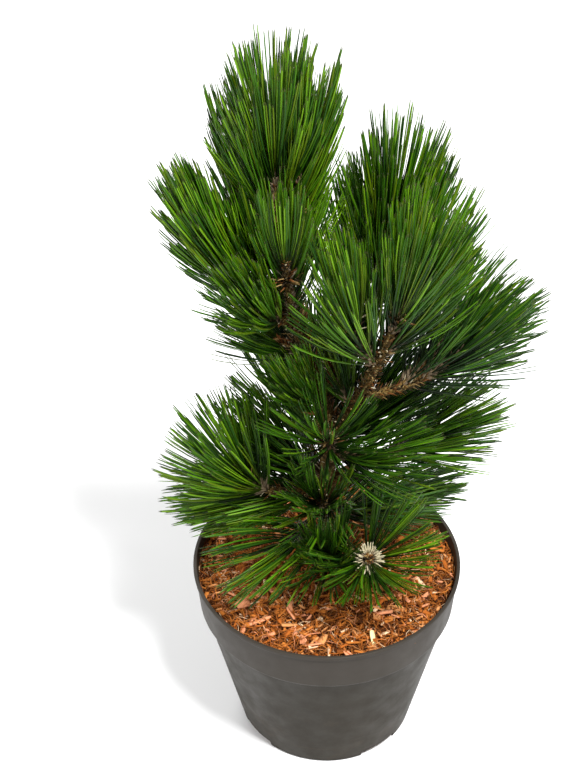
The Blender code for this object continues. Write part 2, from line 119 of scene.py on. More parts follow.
SHOOTS = {
    "leader": Shoot("trunk", 1.0, 167, 88, 2, 0.071, 210, 0.077, 50, 54, 0.28),
    "leader_right": Shoot("trunk", 0.941, 6, 73, 10, 0.076, 160, 0.080, 36, 54, 0.57),
    "leader_front": Shoot("trunk", 0.787, -100, 58, 14, 0.066, 125, 0.077, 42, 39, 0.54),
    "leader_left": Shoot("trunk", 0.793, 174, 51, 18, 0.056, 100, 0.078, 50, 51, 0.24),
    "left_upper": Shoot("bough_left_upper", 1.0, 189, 52, 14, 0.058, 165, 0.080, 36, 29, 0.28),
    "right_front_left": Shoot("bough_right_front", 0.74, 201, 55, 22, 0.050, 115, 0.079, 56, 25, 0.38),
    "right_front_top": Shoot("bough_right_front", 1.0, -19, 65, 8, 0.047, 140, 0.082, 44, 50, 0.24),
    "right_front_right": Shoot("bough_right_front", 0.804, -9, 52, 18, 0.050, 125, 0.080, 48, 37, 0.46),
    "right_side": Shoot("bough_right_side", 1.0, -9, 38, 12, 0.035, 75, 0.076, 44, 31, 0.19),
    "right_side_back": Shoot("bough_right_side", 0.655, 18, 36, 12, 0.052, 98, 0.076, 56, 47, -0.17),
    "back_right_top": Shoot("bough_back_right", 1.0, 29, 74, 5, 0.060, 135, 0.080, 55, 52, 0.38),
    "back_right_side": Shoot("bough_back_right", 0.78, 2, 54, 18, 0.069, 100, 0.076, 63, 20, 0.29),
    "back_left": Shoot("bough_back_left", 1.0, 150, 60, 12, 0.080, 110, 0.078, 36, 27, 0.51),
    "left_low": Shoot("bough_left_low", 1.0, 186, 34, 14, 0.023, 105, 0.078, 71, 51, 0.47),
    "right_low": Shoot("bough_right_low", 1.0, 2, 25, 14, 0.034, 105, 0.072, 56, 29, -0.07),
    "front_low": Shoot("bough_front_low", 1.0, -88, 44, 4, 0.020, 84, 0.071, 80, 118, 0.34),
    "back_low": Shoot("bough_back_low", 1.0, 108, 38, 14, 0.055, 130, 0.081, 70, 23, 0.35),
    "spur_upper_back": Shoot("trunk", 0.855, 69, 33, 10, 0.022, 70, 0.072, 52, 36, 0.70),
    "spur_upper_left": Shoot("bough_left_upper", 0.3, 236, 24, 16, 0.030, 90, 0.074, 48, 34, 0.55),
    "spur_middle_left": Shoot("trunk", 0.672, 177, 32, 10, 0.014, 110, 0.069, 64, 47, 0.44),
    "spur_middle_front": Shoot("trunk", 0.54, -125, 34, 16, 0.023, 85, 0.076, 36, 28, 0.50),
    "spur_middle_back": Shoot("trunk", 0.424, 89, 33, 10, 0.043, 90, 0.080, 67, 40, 0.32),
    "spur_inner_right": Shoot("trunk", 0.409, 15, 29, 10, 0.045, 100, 0.080, 52, 20, 0.14),
    "spur_inner_front": Shoot("trunk", 0.24, -100, 6, 70, 0.044, 100, 0.078, 40, 34, 0.40),
    "spur_centre": Shoot("trunk", 0.403, -94, 39, 16, 0.055, 66, 0.074, 76, 54, 0.40),
    "spur_centre_right": Shoot("trunk", 0.384, -40, 12, 14, 0.030, 60, 0.078, 56, 36, 0.35),
    "spur_centre_left": Shoot("trunk", 0.303, 169, 21, 10, 0.031, 100, 0.073, 59, 25, 0.37),
    "spur_front": Shoot("trunk", 0.06, -96, 10, 66, 0.046, 105, 0.078, 40, 34, 0.40),
    "spur_bough_front": Shoot("bough_right_front", 0.336, 151, 53, 10, 0.026, 80, 0.072, 45, 36, 0.30),
    "spur_bough_back": Shoot("bough_back_right", 0.654, 82, 55, 10, 0.050, 115, 0.078, 58, 36, 0.43),
    "spur_low_left": Shoot("bough_left_low", 0.14, 184, 0, 0, 0.047, 120, 0.076, 38, 39, 0.0),
    "spur_low_right": Shoot("trunk", 0.182, 18, 4, 0, 0.047, 105, 0.073, 46, 20, -0.09),
    "spur_low_front": Shoot("trunk", 0.15, 216, 4, 8, 0.036, 44, 0.078, 56, 34, -0.05),
}
MASSES = ["needles_" + name for name in SHOOTS]
STEM_FOOT_R = 0.0026
STEM_TIP_R = 0.0020

# Needles: how they leave the stem is as in the source
GOLDEN_TURN = 137.508
TURN_STRAY = 14
OPEN_FOOT, OPEN_TIP = 0.92, 0.50
OPEN_STRAY = 0.08
LIT_SIDE = np.array([0.0, -1.0, 0.0])
LIT_CLOSING = 0.35
LENGTH_LEAST, LENGTH_MOST = 0.88, 1.05
CROWDING = 0.85
CLOSING = 1.2
OWN_SPACE = 3.0
NEEDLE_LIFT = 4
NEEDLE_BEND = 18
NEEDLE_SAG = 0.05
NEEDLE_SWAY = 0.035
LOW_SWAY = 0.11
LOW_CROWN = 0.27
PAIRS = 1.30
PAIR_SPLAY = 0.020
NEEDLE_HALF_WIDTH = 0.00063
NEEDLE_HALF_DEPTH = 0.00052
SHEATH_LENGTH = 0.009
SHEATH_R = 0.0011
MULCH_CLEARANCE = 0.004
RIM_CLEARANCE = 0.003

# Shoots whose needles have fallen where they face the lit side more than the first value,
# up to the second value's share of the shoot, so that wood shows there
FALLEN = {
    "leader": (0.85, 0.50),
    "leader_right": (0.60, 0.70),
    "leader_front": (0.50, 0.90),
}

# Which masses are joined into which piece
CROWN = {
    "crown_leader": ("leader", "leader_right", "leader_front", "leader_left"),
    "crown_upper_left": ("left_upper", "spur_upper_back", "spur_upper_left"),
    "crown_middle_left": ("spur_middle_left", "spur_middle_front", "spur_middle_back"),
    "crown_right_front": ("right_front_left", "right_front_top", "right_front_right", "spur_bough_front"),
    "crown_right_side": ("right_side", "right_side_back", "spur_inner_right"),
    "crown_back": ("back_right_top", "back_right_side", "back_left", "spur_bough_back", "back_low"),
    "crown_centre": (
        "spur_centre", "spur_centre_right", "spur_centre_left", "spur_inner_front", "spur_front",
    ),
    "crown_left_low": ("left_low", "spur_low_left"),
    "crown_low": ("right_low", "front_low", "spur_low_right", "spur_low_front"),
}


# Colours

def srgb(red, green, blue):
    """A colour as seen on a screen, from 0 to 255, as the shader's linear values."""
    return tuple(((v / 255 + 0.055) / 1.055) ** 2.4 for v in (red, green, blue))


def painted_shade_of(colour, share):
    """A share of a colour's light, as painted shade."""
    return tuple(v * share for v in colour)


GREENS = {
    "fresh": srgb(100, 142, 16),
    "leaf": srgb(80, 126, 8),
    "olive": srgb(84, 108, 8),
    "grass": srgb(60, 106, 5),
    "mid": srgb(44, 86, 4),
    "cool": srgb(34, 72, 12),
    "deep": srgb(24, 54, 4),
}
# Painted shade: each needle's foot takes the first share of its green and the part after it the second, as
# shade falls among the needles' feet
FOOT_PAINTED_SHADE = 0.26
MIDDLE_PAINTED_SHADE = 0.60
# How the greens are dealt out in each piece, which paints light and shade on parts of the crown: over 1
# favours the light ones, under 1 the dark
GREEN_LEAN_OF_PAINTED_LIGHT_AND_SHADE = {
    "crown_leader": 1.0,
    "crown_upper_left": 1.0,
    "crown_middle_left": 0.8,
    "crown_right_front": 1.1,
    "crown_right_side": 0.24,
    "crown_back": 0.8,
    "crown_centre": 0.45,
    "crown_left_low": 1.4,
    "crown_low": 0.72,
}
INNER_GREEN = srgb(72, 108, 18)
NEEDLE_TIP = srgb(54, 64, 22)


# Points, directions and paths

def rows_unit(vectors):
    return vectors / np.linalg.norm(vectors, axis=-1, keepdims=True)


def heading(azimuth, elevation):
    a, e = math.radians(azimuth), math.radians(elevation)
    return np.array([math.cos(a) * math.cos(e), math.sin(a) * math.cos(e), math.sin(e)])


def smooth(stations, count):
    """Points evenly along a Catmull-Rom curve through the stations."""
    s = np.asarray(stations, float)
    s = np.vstack([2 * s[0] - s[1], s, 2 * s[-1] - s[-2]])
    spans = len(s) - 3
    rows = []
    for u in np.linspace(0, spans, count):
        i = min(int(u), spans - 1)
        t = u - i
        a, b, c, d = s[i:i + 4]
        rows.append(b + 0.5 * t * (c - a + t * (2 * a - 5 * b + 4 * c - d + t * (3 * b - a - 3 * c + d))))
    return np.array(rows)


def limb_path(start, limb, count):
    """Points of a limb that sets out at its elevation and turns upward evenly."""
    step = limb.length / (count - 1)
    points = [start]
    for i in range(count - 1):
        rise = limb.elevation + limb.turn * (i + 0.5) / (count - 1)
        points.append(points[-1] + step * heading(limb.azimuth, rise))
    return np.array(points)


def run_of(path):
    """Distance from the path's start to each of its points."""
    return np.concatenate([[0], np.cumsum(np.linalg.norm(np.diff(path, axis=0), axis=1))])


def along(path, shares):
    """Points at shares of the path's length, and the path's directions there."""
    run = run_of(path)
    at = np.atleast_1d(shares) * run[-1]
    places = np.stack([np.interp(at, run, path[:, i]) for i in range(3)], 1)
    spans = rows_unit(np.diff(path, axis=0))
    index = np.clip(np.searchsorted(run, at, side="right") - 1, 0, len(spans) - 1)
    return places, spans[index]


def distances(points, path):
    """How far each point lies from a path of straight spans."""
    a, d = path[:-1], np.diff(path, axis=0)
    t = np.clip(((points[..., None, :] - a) * d).sum(-1) / (d * d).sum(-1), 0, 1)
    return np.linalg.norm(points[..., None, :] - a - t[..., None] * d, axis=-1).min(-1)


def sideways(ahead):
    """A direction square to each of these, and one square to both."""
    level = np.where(np.abs(ahead[:, 2:]) < 0.9, (0.0, 0.0, 1.0), (1.0, 0.0, 0.0))
    side = rows_unit(np.cross(level, ahead))
    return side, np.cross(ahead, side)


def outward_of(ahead, turn):
    """Directions square to these, turned round them by these angles in degrees."""
    side, other = sideways(ahead)
    angle = np.radians(turn)[:, None]
    return np.cos(angle) * side + np.sin(angle) * other


def chance_of(name):
    return np.random.default_rng([ord(letter) for letter in name])


def ripples(points, wavelength, chance, waves=14):
    """A smooth random field of about unit size over these points, from waves in random directions."""
    directions = rows_unit(chance.normal(size=(waves, 3)))
    directions *= 2 * math.pi / (wavelength * chance.uniform(0.6, 1.6, (waves, 1)))
    phases = chance.uniform(0, 2 * math.pi, waves)
    return np.sin(points @ directions.T + phases).sum(-1) * math.sqrt(2 / waves)


# Limbs

def grow_limbs():
    """Path and radii of the trunk, each bough and each shoot's stem, as in the source."""
    trunk = smooth([(x, y, z, r) for z, x, y, r in TRUNK], TRUNK_RINGS)
    paths, radii = {"trunk": trunk[:, :3]}, {"trunk": trunk[:, 3]}
    for name, limb in BOUGHS.items():
        start, _ = along(paths[limb.parent], limb.share)
        paths[name] = limb_path(start[0], limb, LIMB_RINGS)
        radii[name] = np.linspace(limb.foot_r, limb.tip_r, LIMB_RINGS)
    for name, shoot in SHOOTS.items():
        start, _ = along(paths[shoot.parent], shoot.share)
        paths[name] = limb_path(start[0], shoot, STEM_RINGS)
        radii[name] = np.linspace(STEM_FOOT_R, STEM_TIP_R, STEM_RINGS)
    return paths, radii


# Meshes

def ring_walls(rings, sides):
    """The corners of each ring, those that follow them, and the faces from each ring to the next."""
    side = np.arange(sides)
    following = (side + 1) % sides
    ring = np.arange(rings - 1)[:, None] * sides
    above = ring + sides
    return side, following, np.stack([ring + side, ring + following, above + following, above + side], -1)


def sweep(points, across, outline, size, coats, kinds=0):
    """Closed strands, one outline carried along each row of points and drawn in to a tip at its last.

    points is (strands, places, 3) and across (strands, 3) the outline's x direction. outline is
    (sides, 2), anticlockwise, and size is its half width and half depth at each place but the last.
    coats is the material of each side at each place, and kinds adds to it strand by strand.
    """
    strands, places, _ = points.shape
    outline = np.asarray(outline, float)
    sides, rings = len(outline), places - 1
    ahead = rows_unit(np.gradient(points, axis=1))
    x = rows_unit(across[:, None] - ahead * (across[:, None] * ahead).sum(-1, keepdims=True))
    y = np.cross(ahead, x)
    size = np.broadcast_to(size, (strands, rings, 2))
    wide = x[:, :rings, None] * (size[..., :1] * outline[:, 0])[..., None]
    deep = y[:, :rings, None] * (size[..., 1:] * outline[:, 1])[..., None]
    corners = points[:, :rings, None] + wide + deep
    every = np.concatenate([corners.reshape(strands, rings * sides, 3), points[:, -1:]], 1)

    first = np.arange(strands)[:, None, None, None] * (rings * sides + 1)
    side, following, walls = ring_walls(rings, sides)
    last = (rings - 1) * sides
    tips = np.stack([last + side, last + following, np.full(sides, rings * sides)], -1)
    coats = np.broadcast_to(coats, (rings, sides))
    kinds = np.broadcast_to(kinds, strands)
    return Form(
        every.reshape(-1, 3),
        [
            (first + walls).reshape(-1, 4),
            (first[:, 0] + tips).reshape(-1, 3),
            first[:, 0, 0] + side[::-1],
        ],
        [
            (kinds[:, None, None] + coats[:-1]).ravel(),
            (kinds[:, None] + coats[-1]).ravel(),
            kinds + coats[0, 0],
        ],
    )


def add_object(name, data):
    obj = bpy.data.objects.new(name, data)
    bpy.context.scene.collection.objects.link(obj)
    return obj


def add_mesh(name, forms, looks):
    """One object from forms, which share its list of materials."""
    corners, sizes, coats, start = [], [], [], 0
    for form in forms:
        for faces, coat in zip(form.faces, form.coats):
            corners.append((faces + start).ravel())
            sizes.append(np.full(len(faces), faces.shape[1]))
            coats.append(coat)
        start += len(form.points)
    sizes = np.concatenate(sizes)
    points = np.concatenate([form.points for form in forms])
    mesh = bpy.data.meshes.new(name)
    mesh.vertices.add(start)
    mesh.vertices.foreach_set("co", points.astype(np.float32).ravel())
    mesh.loops.add(int(sizes.sum()))
    mesh.loops.foreach_set("vertex_index", np.concatenate(corners).astype(np.int32))
    mesh.polygons.add(len(sizes))
    mesh.polygons.foreach_set("loop_start", (np.cumsum(sizes) - sizes).astype(np.int32))
    for look in looks:
        mesh.materials.append(look)
    mesh.polygons.foreach_set("material_index", np.concatenate(coats).astype(np.int32))
    mesh.update(calc_edges=True)
    mesh.validate()
    mesh.shade_smooth()
    return add_object(name, mesh)


def place(obj, slot, *nodes):
    """The piece rides on the root body and stands for these nodes, which it hides. The slot is not used."""
    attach(obj, "root")
    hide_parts(*nodes)


def lathe(profile, steps):
    """A closed form of (radius, height) points, both ends on the axis, turned round the Z axis."""
    inner = np.array(profile[1:-1], float)
    angles = np.arange(steps) * 2 * math.pi / steps
    rings = np.stack([
        inner[:, :1] * np.cos(angles),
        inner[:, :1] * np.sin(angles),
        np.repeat(inner[:, 1:], steps, 1),
    ], -1)
    points = np.vstack([rings.reshape(-1, 3), (0, 0, profile[0][1]), (0, 0, profile[-1][1])])
    side, following, walls = ring_walls(len(inner), steps)
    top, bottom = len(points) - 2, len(points) - 1
    final = (len(inner) - 1) * steps
    first_fan = np.stack([following, side, np.full(steps, top)], -1)
    last_fan = np.stack([final + side, final + following, np.full(steps, bottom)], -1)
    faces = [walls.reshape(-1, 4), first_fan, last_fan]
    return Form(points, faces, [np.zeros(len(f), int) for f in faces])


# Materials

def new_look(name, colour, roughness, **sockets):
    """A Principled material. Socket names are written with underscores."""
    look = bpy.data.materials.new(name)
    look.use_nodes = True
    look.diffuse_color = (*colour, 1)
    shader = look.node_tree.nodes["Principled BSDF"]
    shader.inputs["Base Color"].default_value = (*colour, 1)
    shader.inputs["Roughness"].default_value = roughness
    for socket, value in sockets.items():
        shader.inputs[socket.replace("_", " ")].default_value = value
    return look


def link(look, output, socket):
    look.node_tree.links.new(output, look.node_tree.nodes["Principled BSDF"].inputs[socket])


def add_node(look, kind, **values):
    """A node whose named inputs are set, or linked where the value is another node's output."""
    node = look.node_tree.nodes.new(kind)
    for name, value in values.items():
        socket = node.inputs[name.replace("_", " ")]
        if isinstance(value, bpy.types.NodeSocket):
            look.node_tree.links.new(value, socket)
        else:
            socket.default_value = value
    return node


def noise(look, scale, detail=3, roughness=0.55, stretch=(1, 1, 1), distortion=0):
    """Noise over the object's own coordinates, stretched where stretch is small."""
    where = add_node(look, "ShaderNodeTexCoord").outputs["Object"]
    mapped = add_node(look, "ShaderNodeMapping", Vector=where, Scale=stretch).outputs["Vector"]
    made = add_node(look, "ShaderNodeTexNoise", Vector=mapped, Scale=scale, Detail=detail,
                    Roughness=roughness, Distortion=distortion)
    return made.outputs["Fac"]


def remap(look, value, low, high, to_low, to_high):
    limits = {"From_Min": low, "From_Max": high, "To_Min": to_low, "To_Max": to_high}
    return add_node(look, "ShaderNodeMapRange", Value=value, **limits).outputs["Result"]


def mix_colours(look, factor, first, second):
    """One colour where the factor is 0 and the other where it is 1. Either may be a node's output."""
    node = look.node_tree.nodes.new("ShaderNodeMix")
    node.data_type = "RGBA"
    # Of this node's inputs, the factor is number 0 and the two colours are 6 and 7
    for index, value in ((0, factor), (6, first), (7, second)):
        if isinstance(value, bpy.types.NodeSocket):
            look.node_tree.links.new(value, node.inputs[index])
        else:
            node.inputs[index].default_value = (*value, 1) if index else value
    return node.outputs[2]


def bump(look, height, distance, strength=1.0, under=None):
    """Raises the surface by a height. Another bump may lie under it."""
    values = {"Height": height, "Distance": distance, "Strength": strength}
    if under is not None:
        values["Normal"] = under
    return add_node(look, "ShaderNodeBump", **values).outputs["Normal"]


def needle_look(name, colour):
    """A waxy needle with fine lines, in one plain colour and shine, as the piece is many needles."""
    look = new_look(name, colour, 0.40, Specular_IOR_Level=0.20)
    link(look, bump(look, noise(look, 900, 2), 0.0002, 0.25), "Normal")
    return look


def dry_look(name, colour, roughness=0.85, grain=700):
    """Dry bark, scale or wood fibre, rough to the touch."""
    look = new_look(name, colour, roughness, Specular_IOR_Level=0.25)
    link(look, bump(look, noise(look, grain, 4, 0.6), 0.0004, 0.6), "Normal")
    return look


def bark_look():
    look = new_look("bark", srgb(96, 76, 38), 0.88, Specular_IOR_Level=0.2)
    patches = remap(look, noise(look, 160, 4, 0.6), 0.36, 0.64, 0, 1)
    worn = mix_colours(look, patches, srgb(58, 43, 18), srgb(116, 92, 44))
    flecks = remap(look, noise(look, 620, 3, 0.6), 0.56, 0.68, 0, 1)
    link(look, mix_colours(look, flecks, worn, srgb(174, 156, 108)), "Base Color")
    low = bump(look, noise(look, 260, 5, 0.65, (1, 1, 0.5)), 0.0012, 0.7)
    link(look, bump(look, noise(look, 1100, 3), 0.0004, 0.6, low), "Normal")
    return look


def plastic_look():
    """Satin grey plastic with faint dust, earth smudges low on the wall, and a band painted lighter as a
    painted reflection.
    """
    look = new_look("pot_plastic", srgb(36, 32, 25), 0.44, Specular_IOR_Level=0.14)
    cloud = remap(look, noise(look, 9, 4, 0.55), 0.35, 0.65, 0, 1)
    wall = mix_colours(look, cloud, srgb(33, 28, 17), srgb(38, 32, 20))
    where = add_node(look, "ShaderNodeTexCoord").outputs["Object"]
    height = add_node(look, "ShaderNodeSeparateXYZ", Vector=where).outputs["Z"]
    # Painted reflection: the band is coloured lighter than the wall, where its curve catches light
    painted_reflection_on_band = remap(look, height, 0.1215, 0.1235, 0, 1)
    body = mix_colours(look, painted_reflection_on_band, wall, srgb(54, 49, 43))
    dust = remap(look, noise(look, 42, 6, 0.7, (1, 1, 0.35), 0.6), 0.64, 0.80, 0, 0.16)
    dusty = mix_colours(look, dust, body, srgb(72, 64, 52))
    low = remap(look, height, 0.020, 0.110, 1, 0)
    streaks = remap(look, noise(look, 26, 5, 0.62, (1, 1, 2.6), 1.2), 0.54, 0.72, 0, 0.42)
    smudge = add_node(look, "ShaderNodeMath", Value=low)
    smudge.operation = "MULTIPLY"
    look.node_tree.links.new(streaks, smudge.inputs[1])
    link(look, mix_colours(look, smudge.outputs[0], dusty, srgb(58, 45, 30)), "Base Color")
    link(look, remap(look, noise(look, 60, 4, 0.6), 0.3, 0.7, 0.42, 0.58), "Roughness")
    link(look, bump(look, noise(look, 1500, 2), 0.0001, 0.22), "Normal")
    return look


# Wood

def limb_form(path, radii, spacing, sides, relief):
    """A limb closed by a dome at its tip. relief gives its height at places round and along it."""
    length = run_of(path)[-1]
    count = max(int(length / spacing), 6)
    fine = smooth(np.column_stack([path, radii]), count)
    centres, r = fine[:, :3], fine[:, 3]
    ahead = rows_unit(np.gradient(centres, axis=0))
    side, _ = sideways(ahead[:1])
    normals = [side[0]]
    for direction in ahead[1:]:
        turned = normals[-1] - direction * (normals[-1] @ direction)
        normals.append(turned / np.linalg.norm(turned))
    normals = np.array(normals)
    binormals = np.cross(ahead, normals)
    angles = np.arange(sides) * 2 * math.pi / sides
    run = run_of(centres)
    near_tip = np.clip((run[-1] - run) / (1.2 * r[-1]), 0, 1)
    r = r * np.sqrt(1 - (1 - near_tip) ** 2 * 0.9)
    outward = normals[:, None] * np.cos(angles)[:, None] + binormals[:, None] * np.sin(angles)[:, None]
    bare = centres[:, None] + outward * r[:, None, None]
    rise = relief(bare, angles[None, :], run[:, None])
    rings = bare + outward * rise[..., None]
    points = np.vstack([rings.reshape(-1, 3), centres[-1] + ahead[-1] * r[-1] * 0.4, centres[0]])
    corner, following, walls = ring_walls(count, sides)
    final = (count - 1) * sides
    tip = np.stack([final + corner, final + following, np.full(sides, count * sides)], -1)
    foot = np.stack([following, corner, np.full(sides, count * sides + 1)], -1)
    faces = [walls.reshape(-1, 4), tip, foot]
    return Form(points, faces, [np.zeros(len(f), int) for f in faces])


def cushion_relief(name, cell, height, rough):
    """Leaf cushions in crossing spirals over fine roughness, as on young pine wood."""
    chance = chance_of(name)

    def relief(points, angles, run):
        turn = angles / (2 * math.pi)
        leftward = np.abs((5 * turn + run / cell) % 1 - 0.5) * 2
        rightward = np.abs((-8 * turn + run / cell * 1.3) % 1 - 0.5) * 2
        cushion = (1 - leftward ** 3) * (1 - rightward ** 3)
        coarse = ripples(points, 0.0035, chance)
        fine = ripples(points, 0.0014, chance)
        return height * (cushion - 0.6) + rough * (0.6 * coarse + 0.4 * fine)

    return relief


def trunk_relief(points, angles, run):
    """Cushions high up give way to furrowed plates towards the ground."""
    chance = chance_of("trunk")
    cushions = cushion_relief("trunk_cushions", 0.007, 0.0006, 0.0003)(points, angles, run)
    stretched = points * (1, 1, 0.35)
    furrows = -np.abs(ripples(stretched, 0.006, chance))
    plates = 0.0009 * furrows + 0.0004 * ripples(points, 0.0022, chance)
    low = np.clip(1 - run / 0.12, 0, 1)
    return low * plates + (1 - low) * cushions


def make_wood(paths, radii):
    """The trunk, each bough and the shoots' twigs, all with bark."""
    bark = bark_look()
    trunk = limb_form(paths["trunk"], radii["trunk"], 0.0011, 40, trunk_relief)
    place(add_mesh("bark_trunk", [trunk], [bark]), "bark", "trunk")
    for name in BOUGHS:
        relief = cushion_relief(name, 0.006, 0.0006, 0.0003)
        bough = limb_form(paths[name], radii[name], 0.0011, 24, relief)
        place(add_mesh("bark_" + name, [bough], [bark]), "bark", name)
    twigs = []
    for name in SHOOTS:
        relief = cushion_relief(name, 0.004, 0.00035, 0.0002)
        twigs.append(limb_form(paths[name], radii[name], 0.0013, 14, relief))
    place(add_mesh("twigs", twigs, [bark]), "bark", *MASSES)


# Needles

HALF_ROUND = ((1, 0), (0.55, 0.95), (-0.55, 0.95), (-1, 0))
NEEDLE_PLACES = np.array([0, 0.10, 0.28, 0.48, 0.68, 0.87, 0.965, 1])
NEEDLE_GIRTH = np.array([0.70, 0.92, 1.0, 1.0, 1.0, 0.96, 0.66])
# Material of each side at each place: 0 the needle's green, 1 its inner side, 2 tip, 3 foot in painted
# shade, 4 middle in lighter painted shade
NEEDLE_COATS = np.array([[3, 3, 3, 3]] * 2 + [[4, 4, 4, 4]] + [[0, 0, 0, 1]] * 3 + [[2, 2, 2, 2]])
SQUARE = ((1, 0), (0, 1), (-1, 0), (0, -1))


def pairs_of(name, path):
    """Where each pair of needles leaves the shoot and how, and which pairs have fallen."""
    shoot = SHOOTS[name]
    chance = chance_of(name)
    count = round(shoot.needles * PAIRS)
    index = np.arange(count)
    share = ((index + 0.5) / count) ** CROWDING
    roots, ahead = along(path, share)
    outward = outward_of(ahead, index * GOLDEN_TURN + chance.uniform(-TURN_STRAY, TURN_STRAY, count))
    foot, tip = shoot.open_foot * OPEN_FOOT, shoot.open_tip * OPEN_TIP
    opening = (foot + (tip - foot) * share ** CLOSING) * chance.normal(1, OPEN_STRAY, count)
    opening *= 1 - LIT_CLOSING * np.clip(outward @ LIT_SIDE, 0, 1)
    length = shoot.needle * chance.uniform(LENGTH_LEAST, LENGTH_MOST, count)
    bend = NEEDLE_BEND * chance.uniform(0.6, 1.4, count)
    sway = chance.normal(0, LOW_SWAY if path[0, 2] < LOW_CROWN else NEEDLE_SWAY, count)
    roll = chance.uniform(0, math.pi, count)
    splay = PAIR_SPLAY * chance.uniform(0.5, 1.8, count)
    facing, until = FALLEN.get(name, (2, 0))
    fallen = (outward @ LIT_SIDE > facing) & (share < until)
    return roots, ahead, outward, opening, length, bend, sway, roll, splay, chance.random(count), fallen


def needle_curve(roots, ahead, outward, opening, length, bend, sway, apart, splay, rise):
    """Points of one needle of each pair, which curves forward, sways to a side and sags a little."""
    t = (NEEDLE_PLACES[1:] + NEEDLE_PLACES[:-1]) / 2
    step = np.diff(NEEDLE_PLACES)
    angle = np.radians(opening[:, None] + NEEDLE_LIFT - bend[:, None] * t)
    tangent = np.cross(ahead, outward)
    directions = (
        np.cos(angle)[..., None] * ahead[:, None]
        + np.sin(angle)[..., None] * outward[:, None]
        + (sway[:, None] * t)[..., None] * tangent[:, None]
        + (splay[:, None] * (1 - 0.4 * t))[..., None] * apart[:, None]
        + (rise * (0.6 + 0.8 * t) - NEEDLE_SAG * t)[:, None] * np.array([0, 0, 1.0])
    )
    spans = rows_unit(directions) * (step * length[:, None])[..., None]
    return np.concatenate([roots[:, None], roots[:, None] + np.cumsum(spans, 1)], 1)


def clears_pot(points):
    """True for each row of points that stays above the mulch and over the rim."""
    radius, height = np.hypot(points[..., 0], points[..., 1]), points[..., 2]
    in_mulch = (radius < RIM_R) & (height < MULCH_TOP + MULCH_CLEARANCE)
    in_rim = (abs(radius - RIM_R) < 3 * WALL + RIM_CLEARANCE) & (height < POT_HEIGHT + RIM_CLEARANCE)
    in_wall = (radius < RIM_R) & (height < POT_HEIGHT) & (radius > RIM_R - 0.03)
    return ~(in_mulch | in_rim | in_wall).any(1)


def has_room(points, name, paths, radii):
    """True for each row of points that touches no other limb and keeps to its shoot's own space."""
    outer = points[:, 3:]
    own = distances(outer, paths[name])
    kept = np.ones(len(points), bool)
    for other, path in paths.items():
        if other == name:
            continue
        clear = radii[other].max() + NEEDLE_HALF_WIDTH
        start = 1 if SHOOTS[name].parent != other else 2
        kept &= (distances(points[:, start:], path) > clear).all(1)
        if other in SHOOTS:
            kept &= (own <= OWN_SPACE * distances(outer, path)).all(1)
    return kept


def grow_mass(name, paths, radii):
    """Both needles and the sheath of each pair on a shoot that has room."""
    pairs = pairs_of(name, paths[name])
    roots, ahead, outward, opening, length, bend, sway, roll, splay, tone, fallen = pairs
    rise = SHOOTS[name].rise
    first = np.radians(opening + NEEDLE_LIFT)[:, None]
    axis = np.cos(first) * ahead + np.sin(first) * outward
    side, other = sideways(axis)
    apart = np.cos(roll)[:, None] * side + np.sin(roll)[:, None] * other
    middle = needle_curve(roots, ahead, outward, opening, length, bend, sway, apart, splay * 0, rise)
    kept = clears_pot(middle) & has_room(middle, name, paths, radii) & ~fallen
    curves = []
    for way in (1, -1):
        curve = needle_curve(roots, ahead, outward, opening, length, bend, sway, way * apart, splay, rise)
        across = np.cross(way * apart, axis)
        curves.append((curve[kept], across[kept]))
    return curves, middle[kept], apart[kept], tone[kept]


def make_needles(paths, radii):
    """The needles of each part of the crown as one piece, and all their sheaths as another."""
    inner = needle_look("needle_inner", INNER_GREEN)
    tip = needle_look("needle_tip", NEEDLE_TIP)
    looks = []
    for name, colour in GREENS.items():
        # Each green also has a foot and a middle in painted shade, darker shares of the same green
        foot = needle_look("needle_foot_painted_shade_" + name, painted_shade_of(colour, FOOT_PAINTED_SHADE))
        middle = needle_look("needle_middle_" + name, painted_shade_of(colour, MIDDLE_PAINTED_SHADE))
        looks += [needle_look("needle_" + name, colour), inner, tip, foot, middle]
    girth = np.column_stack([NEEDLE_GIRTH * NEEDLE_HALF_WIDTH, NEEDLE_GIRTH * NEEDLE_HALF_DEPTH])
    sheath_size = np.array([[1.0, 1.0], [1.15, 1.15], [0.9, 0.9]]) * SHEATH_R
    sheaths = []
    for piece, members in CROWN.items():
        forms = []
        for name in members:
            curves, middle, apart, tone = grow_mass(name, paths, radii)
            kinds = (tone ** GREEN_LEAN_OF_PAINTED_LIGHT_AND_SHADE[piece] * len(GREENS)).astype(int) * 5
            for curve, across in curves:
                forms.append(sweep(curve, across, HALF_ROUND, girth, NEEDLE_COATS, kinds))
            first = rows_unit(middle[:, 1] - middle[:, 0])
            shares = np.array([0, 0.5, 0.9, 1.3])[:, None]
            sheath = middle[:, :1] + first[:, None] * shares * SHEATH_LENGTH
            sheaths.append(sweep(sheath, apart, SQUARE, sheath_size, 0))
        place(add_mesh(piece, forms, looks), "needles", *["needles_" + name for name in members])
    sheath_look = dry_look("sheath", srgb(120, 104, 82), 0.8)
    place(add_mesh("needle_sheaths", sheaths, [sheath_look]), "needles", *MASSES)


# Scales and buds

SCALE_PLACES = np.array([0, 0.35, 0.75, 1])
SCALE_GIRTH = np.array([[0.9, 0.5], [1.0, 0.45], [0.55, 0.3]])
TRIANGLE = ((1, 0), (0, 1), (-1, 0))
SCALE_STRAY = 10
SCALE_SEAT = 0.93
BUD_SCALES = 46
RUFF_STRIPS = 64
NODE_SCALES = 50
NODE_SPREAD = 0.05
SLIM = 0.0009
SCALE_COLOURS = {
    "rust": srgb(112, 68, 28),
    "tan": srgb(150, 122, 74),
    "pale": srgb(208, 196, 162),
    "brown": srgb(48, 37, 18),
}

